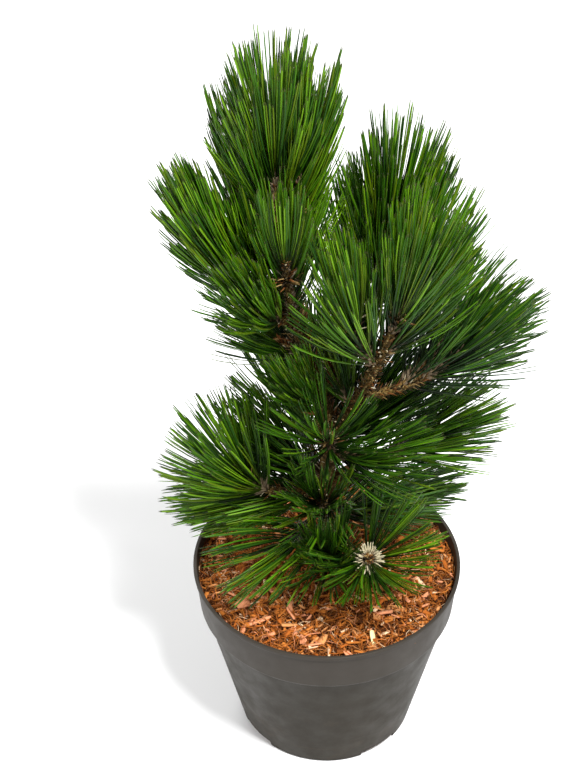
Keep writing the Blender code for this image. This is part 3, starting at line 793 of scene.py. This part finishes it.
# Where last year's growth ended: the limb, the share along it and the length of the scales
NODES = (
    ("leader_right", 0.45, 0.012),
    ("leader", 0.10, 0.012),
    ("leader_front", 0.80, 0.009),
    ("trunk", 0.97, 0.011),
    ("trunk", 0.92, 0.011),
    ("trunk", 0.86, 0.011),
    ("trunk", 0.80, 0.011),
    ("trunk", 0.73, 0.011),
    ("right_front_left", 0.85, 0.010),
    ("right_front_top", 0.30, 0.011),
    ("spur_centre", 0.90, 0.006),
    ("left_low", 0.80, 0.011),
    ("trunk", 0.42, 0.011),
)


def scale_form(roots, up, outward, length, width, flare, kinds):
    """Small pointed scales that lean along up and flare outward towards the tip."""
    t = SCALE_PLACES[None, :, None]
    rise = up[:, None] * t + outward[:, None] * (flare[:, None, None] * t * t)
    points = roots[:, None] + rise * length[:, None, None]
    across = np.cross(outward, up)
    size = SCALE_GIRTH[None] * width[:, None, None]
    return sweep(points, across, TRIANGLE, size, 0, kinds)


def scales_at(path, radii, share, chance, lean, length, width, palette):
    """Dry scales at these shares of a limb, set round it by the golden angle."""
    count = len(share)
    centres, ahead = along(smooth(path, 60), share)
    r = np.interp(share, np.linspace(0, 1, len(radii)), radii)
    turn = np.arange(count) * GOLDEN_TURN + chance.uniform(-SCALE_STRAY, SCALE_STRAY, count)
    outward = outward_of(ahead, turn)
    up = rows_unit(ahead + outward * chance.uniform(*lean, (count, 1)))
    roots = centres + outward * (r * SCALE_SEAT)[:, None]
    sizes = chance.uniform(0.6, 1.3, count)
    kinds = chance.choice(len(palette), count, p=palette)
    flare = chance.uniform(0, 0.6, count)
    return scale_form(roots, up, outward, length * sizes, width * sizes, flare, kinds)


def limb_scales(name, path, radii, spacing, length, width, palette):
    """Dry scales all along a limb."""
    count = int(run_of(path)[-1] / spacing)
    share = (np.arange(count) + 0.5) / count
    chance = chance_of(name + "_scales")
    return scales_at(path, radii, share, chance, (0.15, 0.9), length, width, palette)


def node_scales(limb, share, length, paths, radii):
    """A collar of longer dry scales where a year's growth ended."""
    chance = chance_of(f"{limb}_{share}_node")
    shares = np.clip(share + chance.normal(0, NODE_SPREAD, NODE_SCALES), 0, 1)
    palette = (0.34, 0.26, 0.08, 0.32)
    return scales_at(paths[limb], radii[limb], shares, chance, (0.3, 1.2), length, 0.0011, palette)


def bud_forms(name, path, radius, length, palette):
    """A pointed bud of overlapping scales on the tip of a shoot."""
    chance = chance_of(name + "_bud")
    ahead = rows_unit(path[-1] - path[-2])
    t = np.linspace(0, 1, 9)
    core = path[-1] + ahead * (t * length)[:, None]
    swell = np.sin(np.pi * (0.16 + 0.84 * t[:-1]) ** 0.8) * 0.8 + 0.12
    side, _ = sideways(ahead[None])
    ring = np.linspace(0, 2 * math.pi, 9)[:-1]
    octagon = np.column_stack([np.cos(ring), np.sin(ring)])
    girth = np.repeat((swell * radius)[:, None], 2, 1)
    share = np.linspace(0.0, 0.86, BUD_SCALES)
    outward = outward_of(ahead[None], np.arange(BUD_SCALES) * GOLDEN_TURN)
    r = np.interp(share, t[:-1], swell * radius)
    roots = path[-1] + ahead * (share * length)[:, None] + outward * (r * 0.75)[:, None]
    up = rows_unit(ahead + outward * 0.25)
    kinds = chance.choice(len(palette), BUD_SCALES, p=palette)
    ones = np.ones(BUD_SCALES)
    flare = chance.uniform(0.0, 0.5, BUD_SCALES)
    return [
        sweep(core[None], side, octagon, girth, 0, 3),
        scale_form(roots, up, outward, 0.0042 * ones, SLIM * ones, flare, kinds),
    ]


def ruff_form(name, path, radius, length):
    """Pale dry sheaths that stand out round a bud which is seen from its tip."""
    chance = chance_of(name + "_ruff")
    ahead = rows_unit(path[-1] - path[-2])
    outward = outward_of(ahead[None], np.arange(RUFF_STRIPS) * GOLDEN_TURN)
    roots = path[-1] + ahead * chance.uniform(0.0, 0.004, (RUFF_STRIPS, 1)) + outward * radius
    lean = rows_unit(outward + ahead * chance.uniform(0.2, 0.8, (RUFF_STRIPS, 1)))
    sizes = chance.uniform(0.6, 1.2, RUFF_STRIPS)
    upright = np.repeat(ahead[None], RUFF_STRIPS, 0)
    flare = chance.uniform(0.1, 0.5, RUFF_STRIPS)
    return scale_form(roots, lean, upright, length * sizes, SLIM * sizes, flare, 2)


def make_scales(paths, radii):
    looks = [dry_look("scale_" + name, colour) for name, colour in SCALE_COLOURS.items()]
    # Each palette gives the shares of rust, tan, pale and brown
    mixed = (0.28, 0.17, 0.08, 0.47)
    forms = [limb_scales("trunk", paths["trunk"], radii["trunk"], 0.00036, 0.0048, 0.0007, mixed)]
    for name in BOUGHS:
        forms.append(limb_scales(name, paths[name], radii[name], 0.00028, 0.0048, 0.0007, mixed))
    for name in SHOOTS:
        forms.append(limb_scales(name, paths[name], radii[name], 0.00045, 0.0044, 0.0006, mixed))
        palette = (0.3, 0.3, 0.1, 0.3) if name == "front_low" else (0.4, 0.14, 0.10, 0.36)
        girth, length = (0.0030, 0.009) if name == "front_low" else (0.0032, 0.013)
        forms += bud_forms(name, paths[name], girth, length, palette)
    for limb, share, length in NODES:
        forms.append(node_scales(limb, share, length, paths, radii))
    forms.append(ruff_form("front_low", paths["front_low"], 0.0044, 0.0084))
    place(add_mesh("scales_and_buds", forms, looks), "bark", "trunk", *BOUGHS, *MASSES)


# Pot

def wall_radius(height, inset=0.0):
    """Outer radius of the pot's wall and band, less an inset."""
    band_foot = POT_HEIGHT - BAND_HEIGHT
    if height >= band_foot:
        share = (height - band_foot) / BAND_HEIGHT
        return BAND_FOOT_R + (BAND_TOP_R - BAND_FOOT_R) * share - inset
    share = height / band_foot
    return FOOT_R + (BAND_FOOT_R - BAND_STEP - FOOT_R) * share - inset


def arc(centre, radius, start, end, count=7):
    """Points of an arc from one angle to another, in degrees, as (radius, height)."""
    angles = np.radians(np.linspace(start, end, count))
    return [(centre[0] + radius * math.cos(a), centre[1] + radius * math.sin(a)) for a in angles]


def pot_profile():
    band_foot = POT_HEIGHT - BAND_HEIGHT
    bead_foot = POT_HEIGHT - BEAD_HEIGHT
    edge, lip = 0.0007, 0.0030
    below = band_foot - 0.0012
    lining = band_foot + WALL
    inner_rim = wall_radius(POT_HEIGHT, WALL)
    profile = [(0, FLOOR), (wall_radius(FLOOR, WALL) - 0.002, FLOOR)]
    profile += arc((wall_radius(FLOOR, WALL) - 0.002, FLOOR + 0.002), 0.002, -90, 0, 5)
    profile += [(wall_radius(below, WALL), below), (wall_radius(lining, WALL), lining)]
    profile += arc((inner_rim + edge, POT_HEIGHT - edge), edge, 180, 90, 5)
    profile += arc((RIM_R - edge, POT_HEIGHT - edge), edge, 90, 0, 6)
    profile += arc((RIM_R - edge, bead_foot + edge), edge, 0, -70, 5)
    profile += [(wall_radius(bead_foot - 0.0008), bead_foot - 0.0008)]
    profile += arc((wall_radius(band_foot) - lip, band_foot + lip * 0.6), lip, 0, -90, 7)
    profile += arc((wall_radius(below) + 0.0008, below - 0.0012), 0.0008, 90, 180, 4)
    profile += [(wall_radius(height), height) for height in (0.08, 0.04, 2 * FOOT_ROUND)]
    profile += arc((wall_radius(FOOT_ROUND) - FOOT_ROUND, FOOT_ROUND), FOOT_ROUND, 0, -90, 7)
    profile += [(0.4 * FOOT_R, 0), (0, 0)]
    return profile


def make_pot():
    pot = add_mesh("pot_shell", [lathe(pot_profile(), 192)], [plastic_look()])
    bm = bmesh.new()
    bm.from_mesh(pot.data)
    bmesh.ops.recalc_face_normals(bm, faces=bm.faces)
    bm.to_mesh(pot.data)
    bm.free()
    cutters = []
    for i in range(NOTCH_COUNT):
        azimuth = NOTCH_TURN + i * 2 * math.pi / NOTCH_COUNT
        bm = bmesh.new()
        bmesh.ops.create_cube(bm, size=1)
        bmesh.ops.scale(bm, vec=(NOTCH_DEPTH, NOTCH_WIDTH, 2 * NOTCH_HEIGHT), verts=bm.verts)
        bmesh.ops.bevel(bm, geom=bm.edges[:], offset=0.0015, segments=4, profile=0.5, affect="EDGES")
        mesh = bpy.data.meshes.new("notch")
        bm.to_mesh(mesh)
        bm.free()
        cutter = add_object("notch", mesh)
        centre = (FOOT_R * math.cos(azimuth), FOOT_R * math.sin(azimuth), 0)
        cutter.matrix_world = Matrix.Translation(centre) @ Matrix.Rotation(azimuth, 4, "Z")
        cut = pot.modifiers.new("notch", "BOOLEAN")
        cut.operation = "DIFFERENCE"
        cut.solver = "EXACT"
        cut.object = cutter
        cutters.append(cutter)
    bpy.context.view_layer.update()
    graph = bpy.context.evaluated_depsgraph_get()
    pot.data = bpy.data.meshes.new_from_object(pot.evaluated_get(graph))
    pot.modifiers.clear()
    for cutter in cutters:
        bpy.data.objects.remove(cutter, do_unlink=True)
    pot.data.shade_smooth()
    pot.data.set_sharp_from_angle(angle=math.radians(38))
    place(pot, "pot_plastic", "pot")


# Mulch

MULCH_COLOURS = {
    "amber": srgb(186, 110, 42),
    "rust": srgb(166, 90, 28),
    "brown": srgb(120, 64, 20),
    # The darkest brown, for some dark fibres and, on the bed, as painted shade between the loose pieces
    "shade": srgb(78, 40, 12),
    "peach": srgb(206, 140, 84),
    "cream": srgb(234, 198, 158),
    "pink": srgb(220, 146, 104),
    "straw": srgb(240, 218, 160),
}
# Larger pieces near the front: x, y, bearing in degrees, length, half width and colour's place in the list
PLACED_CHIPS = (
    (-0.0655, -0.0402, 40, 0.013, 0.0042, 6),
    (-0.0540, -0.0572, 12, 0.022, 0.0018, 6),
    (-0.0655, -0.0630, 70, 0.010, 0.0024, 6),
    (-0.0510, -0.0427, 95, 0.013, 0.0044, 0),
    (-0.0300, -0.0640, 10, 0.013, 0.0020, 4),
    (-0.0204, -0.0764, 125, 0.010, 0.0026, 6),
    (0.0320, -0.0778, 98, 0.015, 0.0024, 7),
    (0.0176, -0.0800, 8, 0.013, 0.0044, 0),
    (0.0500, -0.0329, 160, 0.014, 0.0018, 6),
    (0.0414, -0.0710, 25, 0.009, 0.0016, 5),
    (-0.0466, -0.0717, 170, 0.012, 0.0016, 6),
    (-0.0055, -0.0778, 60, 0.010, 0.0032, 4),
    (-0.0740, -0.0294, 150, 0.008, 0.0022, 6),
    (-0.0601, -0.0277, 60, 0.015, 0.0030, 4),
)


def mulch_height(radius):
    """The mound's height in the source, at each distance from its middle."""
    edge = MULCH_TOP - MULCH_FALL
    outer = wall_radius(edge)
    return np.interp(radius, [MULCH_FLAT_R, (MULCH_FLAT_R + outer) / 2, outer],
                     [MULCH_TOP, MULCH_TOP - 0.3 * MULCH_FALL, edge])


def mulch_bed(rings=70, steps=240):
    """The lumpy bed under the loose fibres, closed by the mix that fills the pot."""
    chance = chance_of("bed")
    inset = WALL + FIT_GAP
    edge = MULCH_TOP - MULCH_FALL - 0.001
    outer = wall_radius(edge, inset)
    radii = np.linspace(0, outer, rings + 1)[1:]
    profile = [(0, MULCH_TOP - 0.002)] + [(r, mulch_height(r) - 0.002) for r in radii]
    band_foot = POT_HEIGHT - BAND_HEIGHT
    below = band_foot - 0.0012 + FIT_GAP
    profile += [
        (wall_radius(band_foot + inset, inset), band_foot + inset),
        (wall_radius(below, inset), below),
        (wall_radius(FLOOR + 0.003, inset), FLOOR + 0.003),
        (wall_radius(FLOOR + FIT_GAP, inset) - 0.003, FLOOR + FIT_GAP),
        (0, FLOOR + FIT_GAP),
    ]
    form = lathe(profile, steps)
    top = form.points[:, 2] > edge - 0.004
    points = form.points[top]
    lumps = 0.0011 * ripples(points, 0.014, chance) + 0.0006 * ripples(points, 0.005, chance)
    inside = np.clip((outer - np.hypot(points[:, 0], points[:, 1])) / 0.004, 0, 1)
    form.points[top, 2] += lumps * inside
    return form


def keep_in_pot(points):
    """Draws points that would reach the wall back inside it."""
    reach = np.hypot(points[..., 0], points[..., 1])
    most = wall_radius(MULCH_TOP, WALL + 0.0006)
    pull = np.where(reach > most, most / np.maximum(reach, 1e-9), 1.0)
    points[..., :2] *= pull[..., None]
    return points


def scatter(count, chance, least=0.011):
    """Places spread evenly over the bed, off the trunk's foot."""
    outer = wall_radius(MULCH_TOP, WALL) - 0.001
    radius = np.sqrt(chance.uniform(least ** 2, outer ** 2, count))
    azimuth = chance.uniform(0, 2 * math.pi, count)
    return np.column_stack([radius * np.cos(azimuth), radius * np.sin(azimuth)])


def fibres(name, count, length, half_width, lift, curl, palette):
    """Shredded curls of wood that lie on the bed and arch a little out of it."""
    chance = chance_of(name)
    places = 6
    start = scatter(count, chance)
    size = length * chance.uniform(0.35, 1.25, count)
    bearing = chance.uniform(0, 2 * math.pi, count)[:, None]
    t = np.linspace(0, 1, places)
    turning = chance.normal(0, curl, (count, 1)) * t
    turning += 0.5 * chance.normal(0, curl, (count, 1)) * np.sin(t * 7)
    turning += np.cumsum(chance.normal(0, 0.22, (count, places)), 1)
    angle = bearing + turning
    step = size[:, None] / (places - 1)
    x = start[:, :1] + np.cumsum(np.cos(angle) * step, 1)
    y = start[:, 1:] + np.cumsum(np.sin(angle) * step, 1)
    ground = mulch_height(np.hypot(x, y)) - 0.001
    layer = chance.uniform(0, lift, (count, 1))
    arch = chance.uniform(0, lift, (count, 1)) * np.sin(np.pi * t)
    tilt = chance.normal(0, 0.35 * lift, (count, 1)) * (t - 0.5) * 2
    z = ground + layer + arch + tilt
    points = keep_in_pot(np.stack([x, y, z], -1))
    skew = bearing + 1.3
    across = rows_unit(np.column_stack([np.cos(skew), np.sin(skew), chance.normal(0, 0.5, count)]))
    girth = np.array([0.6, 1, 1, 0.95, 0.7])
    width = half_width * chance.uniform(0.5, 1.5, (count, 1))
    sizes = np.stack([width * girth, width * girth * 0.55], -1)
    kinds = chance.choice(len(palette), count, p=palette)
    return sweep(points, across, TRIANGLE, sizes, 0, kinds)


def chips(name, count, length, half_width, lift, palette):
    """Flat splinters of wood with broken ends, lying at all angles."""
    chance = chance_of(name)
    centre = scatter(count, chance, 0.02)
    size = length * chance.uniform(0.5, 1.4, count)
    bearing = chance.uniform(0, 2 * math.pi, count)
    width = half_width * chance.uniform(0.45, 1.4, count)
    kinds = chance.choice(len(palette), count, p=palette)
    return chip_form(chance, centre, size, bearing, width, lift, kinds)


def placed_chips():
    """The few larger pieces that stand out near the front."""
    x, y, bearing, size, width, kinds = np.array(PLACED_CHIPS).T
    chance = chance_of("placed_chips")
    centre = np.column_stack([x, y])
    return chip_form(chance, centre, size, np.radians(bearing), width, 0.0052, kinds.astype(int))


def chip_form(chance, centre, size, bearing, width, lift, kinds):
    """Flat pieces with broken ends, each a little pitched and bowed."""
    count = len(centre)
    pitch = chance.normal(0, 0.22, count)
    level = np.column_stack([np.cos(bearing), np.sin(bearing)]) * np.cos(pitch)[:, None]
    ahead = np.column_stack([level, np.sin(pitch)])
    t = np.array([-0.5, -0.42, -0.1, 0.25, 0.44, 0.5])
    ground = mulch_height(np.hypot(*centre.T)) + chance.uniform(0.2, 1.0, count) * lift
    middle = np.column_stack([centre, ground])
    bow = chance.normal(0, 0.08, (count, 1)) * (t ** 2 - 0.1)
    points = middle[:, None] + ahead[:, None] * (t * size[:, None])[..., None]
    points[..., 2] += bow * size[:, None]
    points = keep_in_pot(points)
    across = np.column_stack([-np.sin(bearing), np.cos(bearing), chance.normal(0, 0.35, count)])
    girth = chance.uniform(0.65, 1.0, (count, 5)) * (0.7, 1, 1, 1, 0.75)
    thickness = 0.0005 * chance.uniform(0.6, 1.6, (count, 1)) * np.ones_like(girth)
    sizes = np.stack([width[:, None] * girth, thickness], -1)
    plank = ((1, 0.9), (-1, 1), (-1, -0.9), (1, -1))
    return sweep(points, across, plank, sizes, 0, kinds)


def make_mulch():
    looks = [dry_look("mulch_" + name, colour, 0.9, 900) for name, colour in MULCH_COLOURS.items()]
    # The bed takes the darkest brown, as painted shade in the gaps between the loose fibres
    bed = add_mesh("mulch_bed", [mulch_bed()], [looks[3]])
    place(bed, "mulch", "potting_mix")
    # The last values give the share of each of the mulch's colours
    fine = fibres("fine", 6000, 0.013, 0.00018, 0.0044, 1.1, (0.26, 0.25, 0.20, 0.08, 0.12, 0.04, 0.05))
    place(add_mesh("mulch_fibres_fine", [fine], looks), "mulch", "potting_mix")
    coarse = fibres("coarse", 1700, 0.018, 0.00036, 0.0042, 0.7, (0.26, 0.27, 0.18, 0.08, 0.12, 0.04, 0.05))
    place(add_mesh("mulch_fibres_coarse", [coarse], looks), "mulch", "potting_mix")
    splinters = [
        chips("splinters", 1100, 0.007, 0.0008, 0.0044, (0.26, 0.26, 0.13, 0.06, 0.15, 0.05, 0.09)),
        chips("chips", 260, 0.010, 0.0020, 0.0048, (0.24, 0.26, 0.10, 0.03, 0.16, 0.03, 0.18)),
        placed_chips(),
    ]
    place(add_mesh("mulch_chips", splinters, looks), "mulch", "potting_mix")


# Stage, lights and camera

CAMERA_PLACE = (-0.03899, -0.92748, 1.07598)
CAMERA_PITCH = math.radians(38.629)
CAMERA_YAW = math.radians(0.452)
CAMERA_ROLL = math.radians(0.822)
CAMERA_LENS = 77.88


def make_camera():
    """The photograph's camera, found from the pot's ellipses and the plant's height."""
    ahead = np.array([
        math.sin(CAMERA_YAW) * math.cos(CAMERA_PITCH),
        math.cos(CAMERA_YAW) * math.cos(CAMERA_PITCH),
        -math.sin(CAMERA_PITCH),
    ])
    level = np.array([math.cos(CAMERA_YAW), -math.sin(CAMERA_YAW), 0])
    down = np.cross(ahead, level)
    right = math.cos(CAMERA_ROLL) * level + math.sin(CAMERA_ROLL) * down
    under = -math.sin(CAMERA_ROLL) * level + math.cos(CAMERA_ROLL) * down
    data = bpy.data.cameras.new("camera")
    data.lens = CAMERA_LENS
    data.clip_start, data.clip_end = 0.05, 50
    camera = add_object("camera", data)
    turn = Matrix(np.column_stack([right, -under, -ahead])).to_4x4()
    camera.matrix_world = Matrix.Translation(CAMERA_PLACE) @ turn
    bpy.context.scene.camera = camera


def add_light(name, place_at, target, size, power, colour=(1, 1, 1)):
    data = bpy.data.lights.new(name, "AREA")
    data.shape = "DISK"
    data.size = size
    data.energy = power
    data.color = colour
    away = rows_unit(np.array(place_at, float) - np.array(target, float))
    side, up = sideways(away[None])
    turn = Matrix(np.column_stack([side[0], up[0], away])).to_4x4()
    add_object(name, data).matrix_world = Matrix.Translation(place_at) @ turn


def make_stage():
    mesh = bpy.data.meshes.new("floor")
    half = 6.0
    corners = [(-half, -half, 0), (half, -half, 0), (half, half, 0), (-half, half, 0)]
    mesh.from_pydata(corners, [], [(0, 1, 2, 3)])
    mesh.materials.append(new_look("floor", (0.88, 0.88, 0.88), 0.8, Specular_IOR_Level=0.1))
    floor = add_object("floor", mesh)
    world = bpy.data.worlds.new("studio")
    world.use_nodes = True
    world.node_tree.nodes["Background"].inputs["Color"].default_value = (1, 1, 1, 1)
    world.node_tree.nodes["Background"].inputs["Strength"].default_value = 0.36
    bpy.context.scene.world = world
    middle = (0, 0, 0.30)
    add_light("key", (0.7, -1.1, 2.6), middle, 0.6, 130)
    add_light("fill", (-1.8, -0.6, 1.9), middle, 1.6, 30)
    add_light("back", (-0.6, 1.9, 2.2), middle, 1.6, 40)
    view = bpy.context.scene.view_settings
    view.view_transform = "Standard"
    view.look = "None"


paths, radii = grow_limbs()
make_pot()
make_mulch()
make_wood(paths, radii)
make_needles(paths, radii)
make_scales(paths, radii)
make_camera()
make_stage()
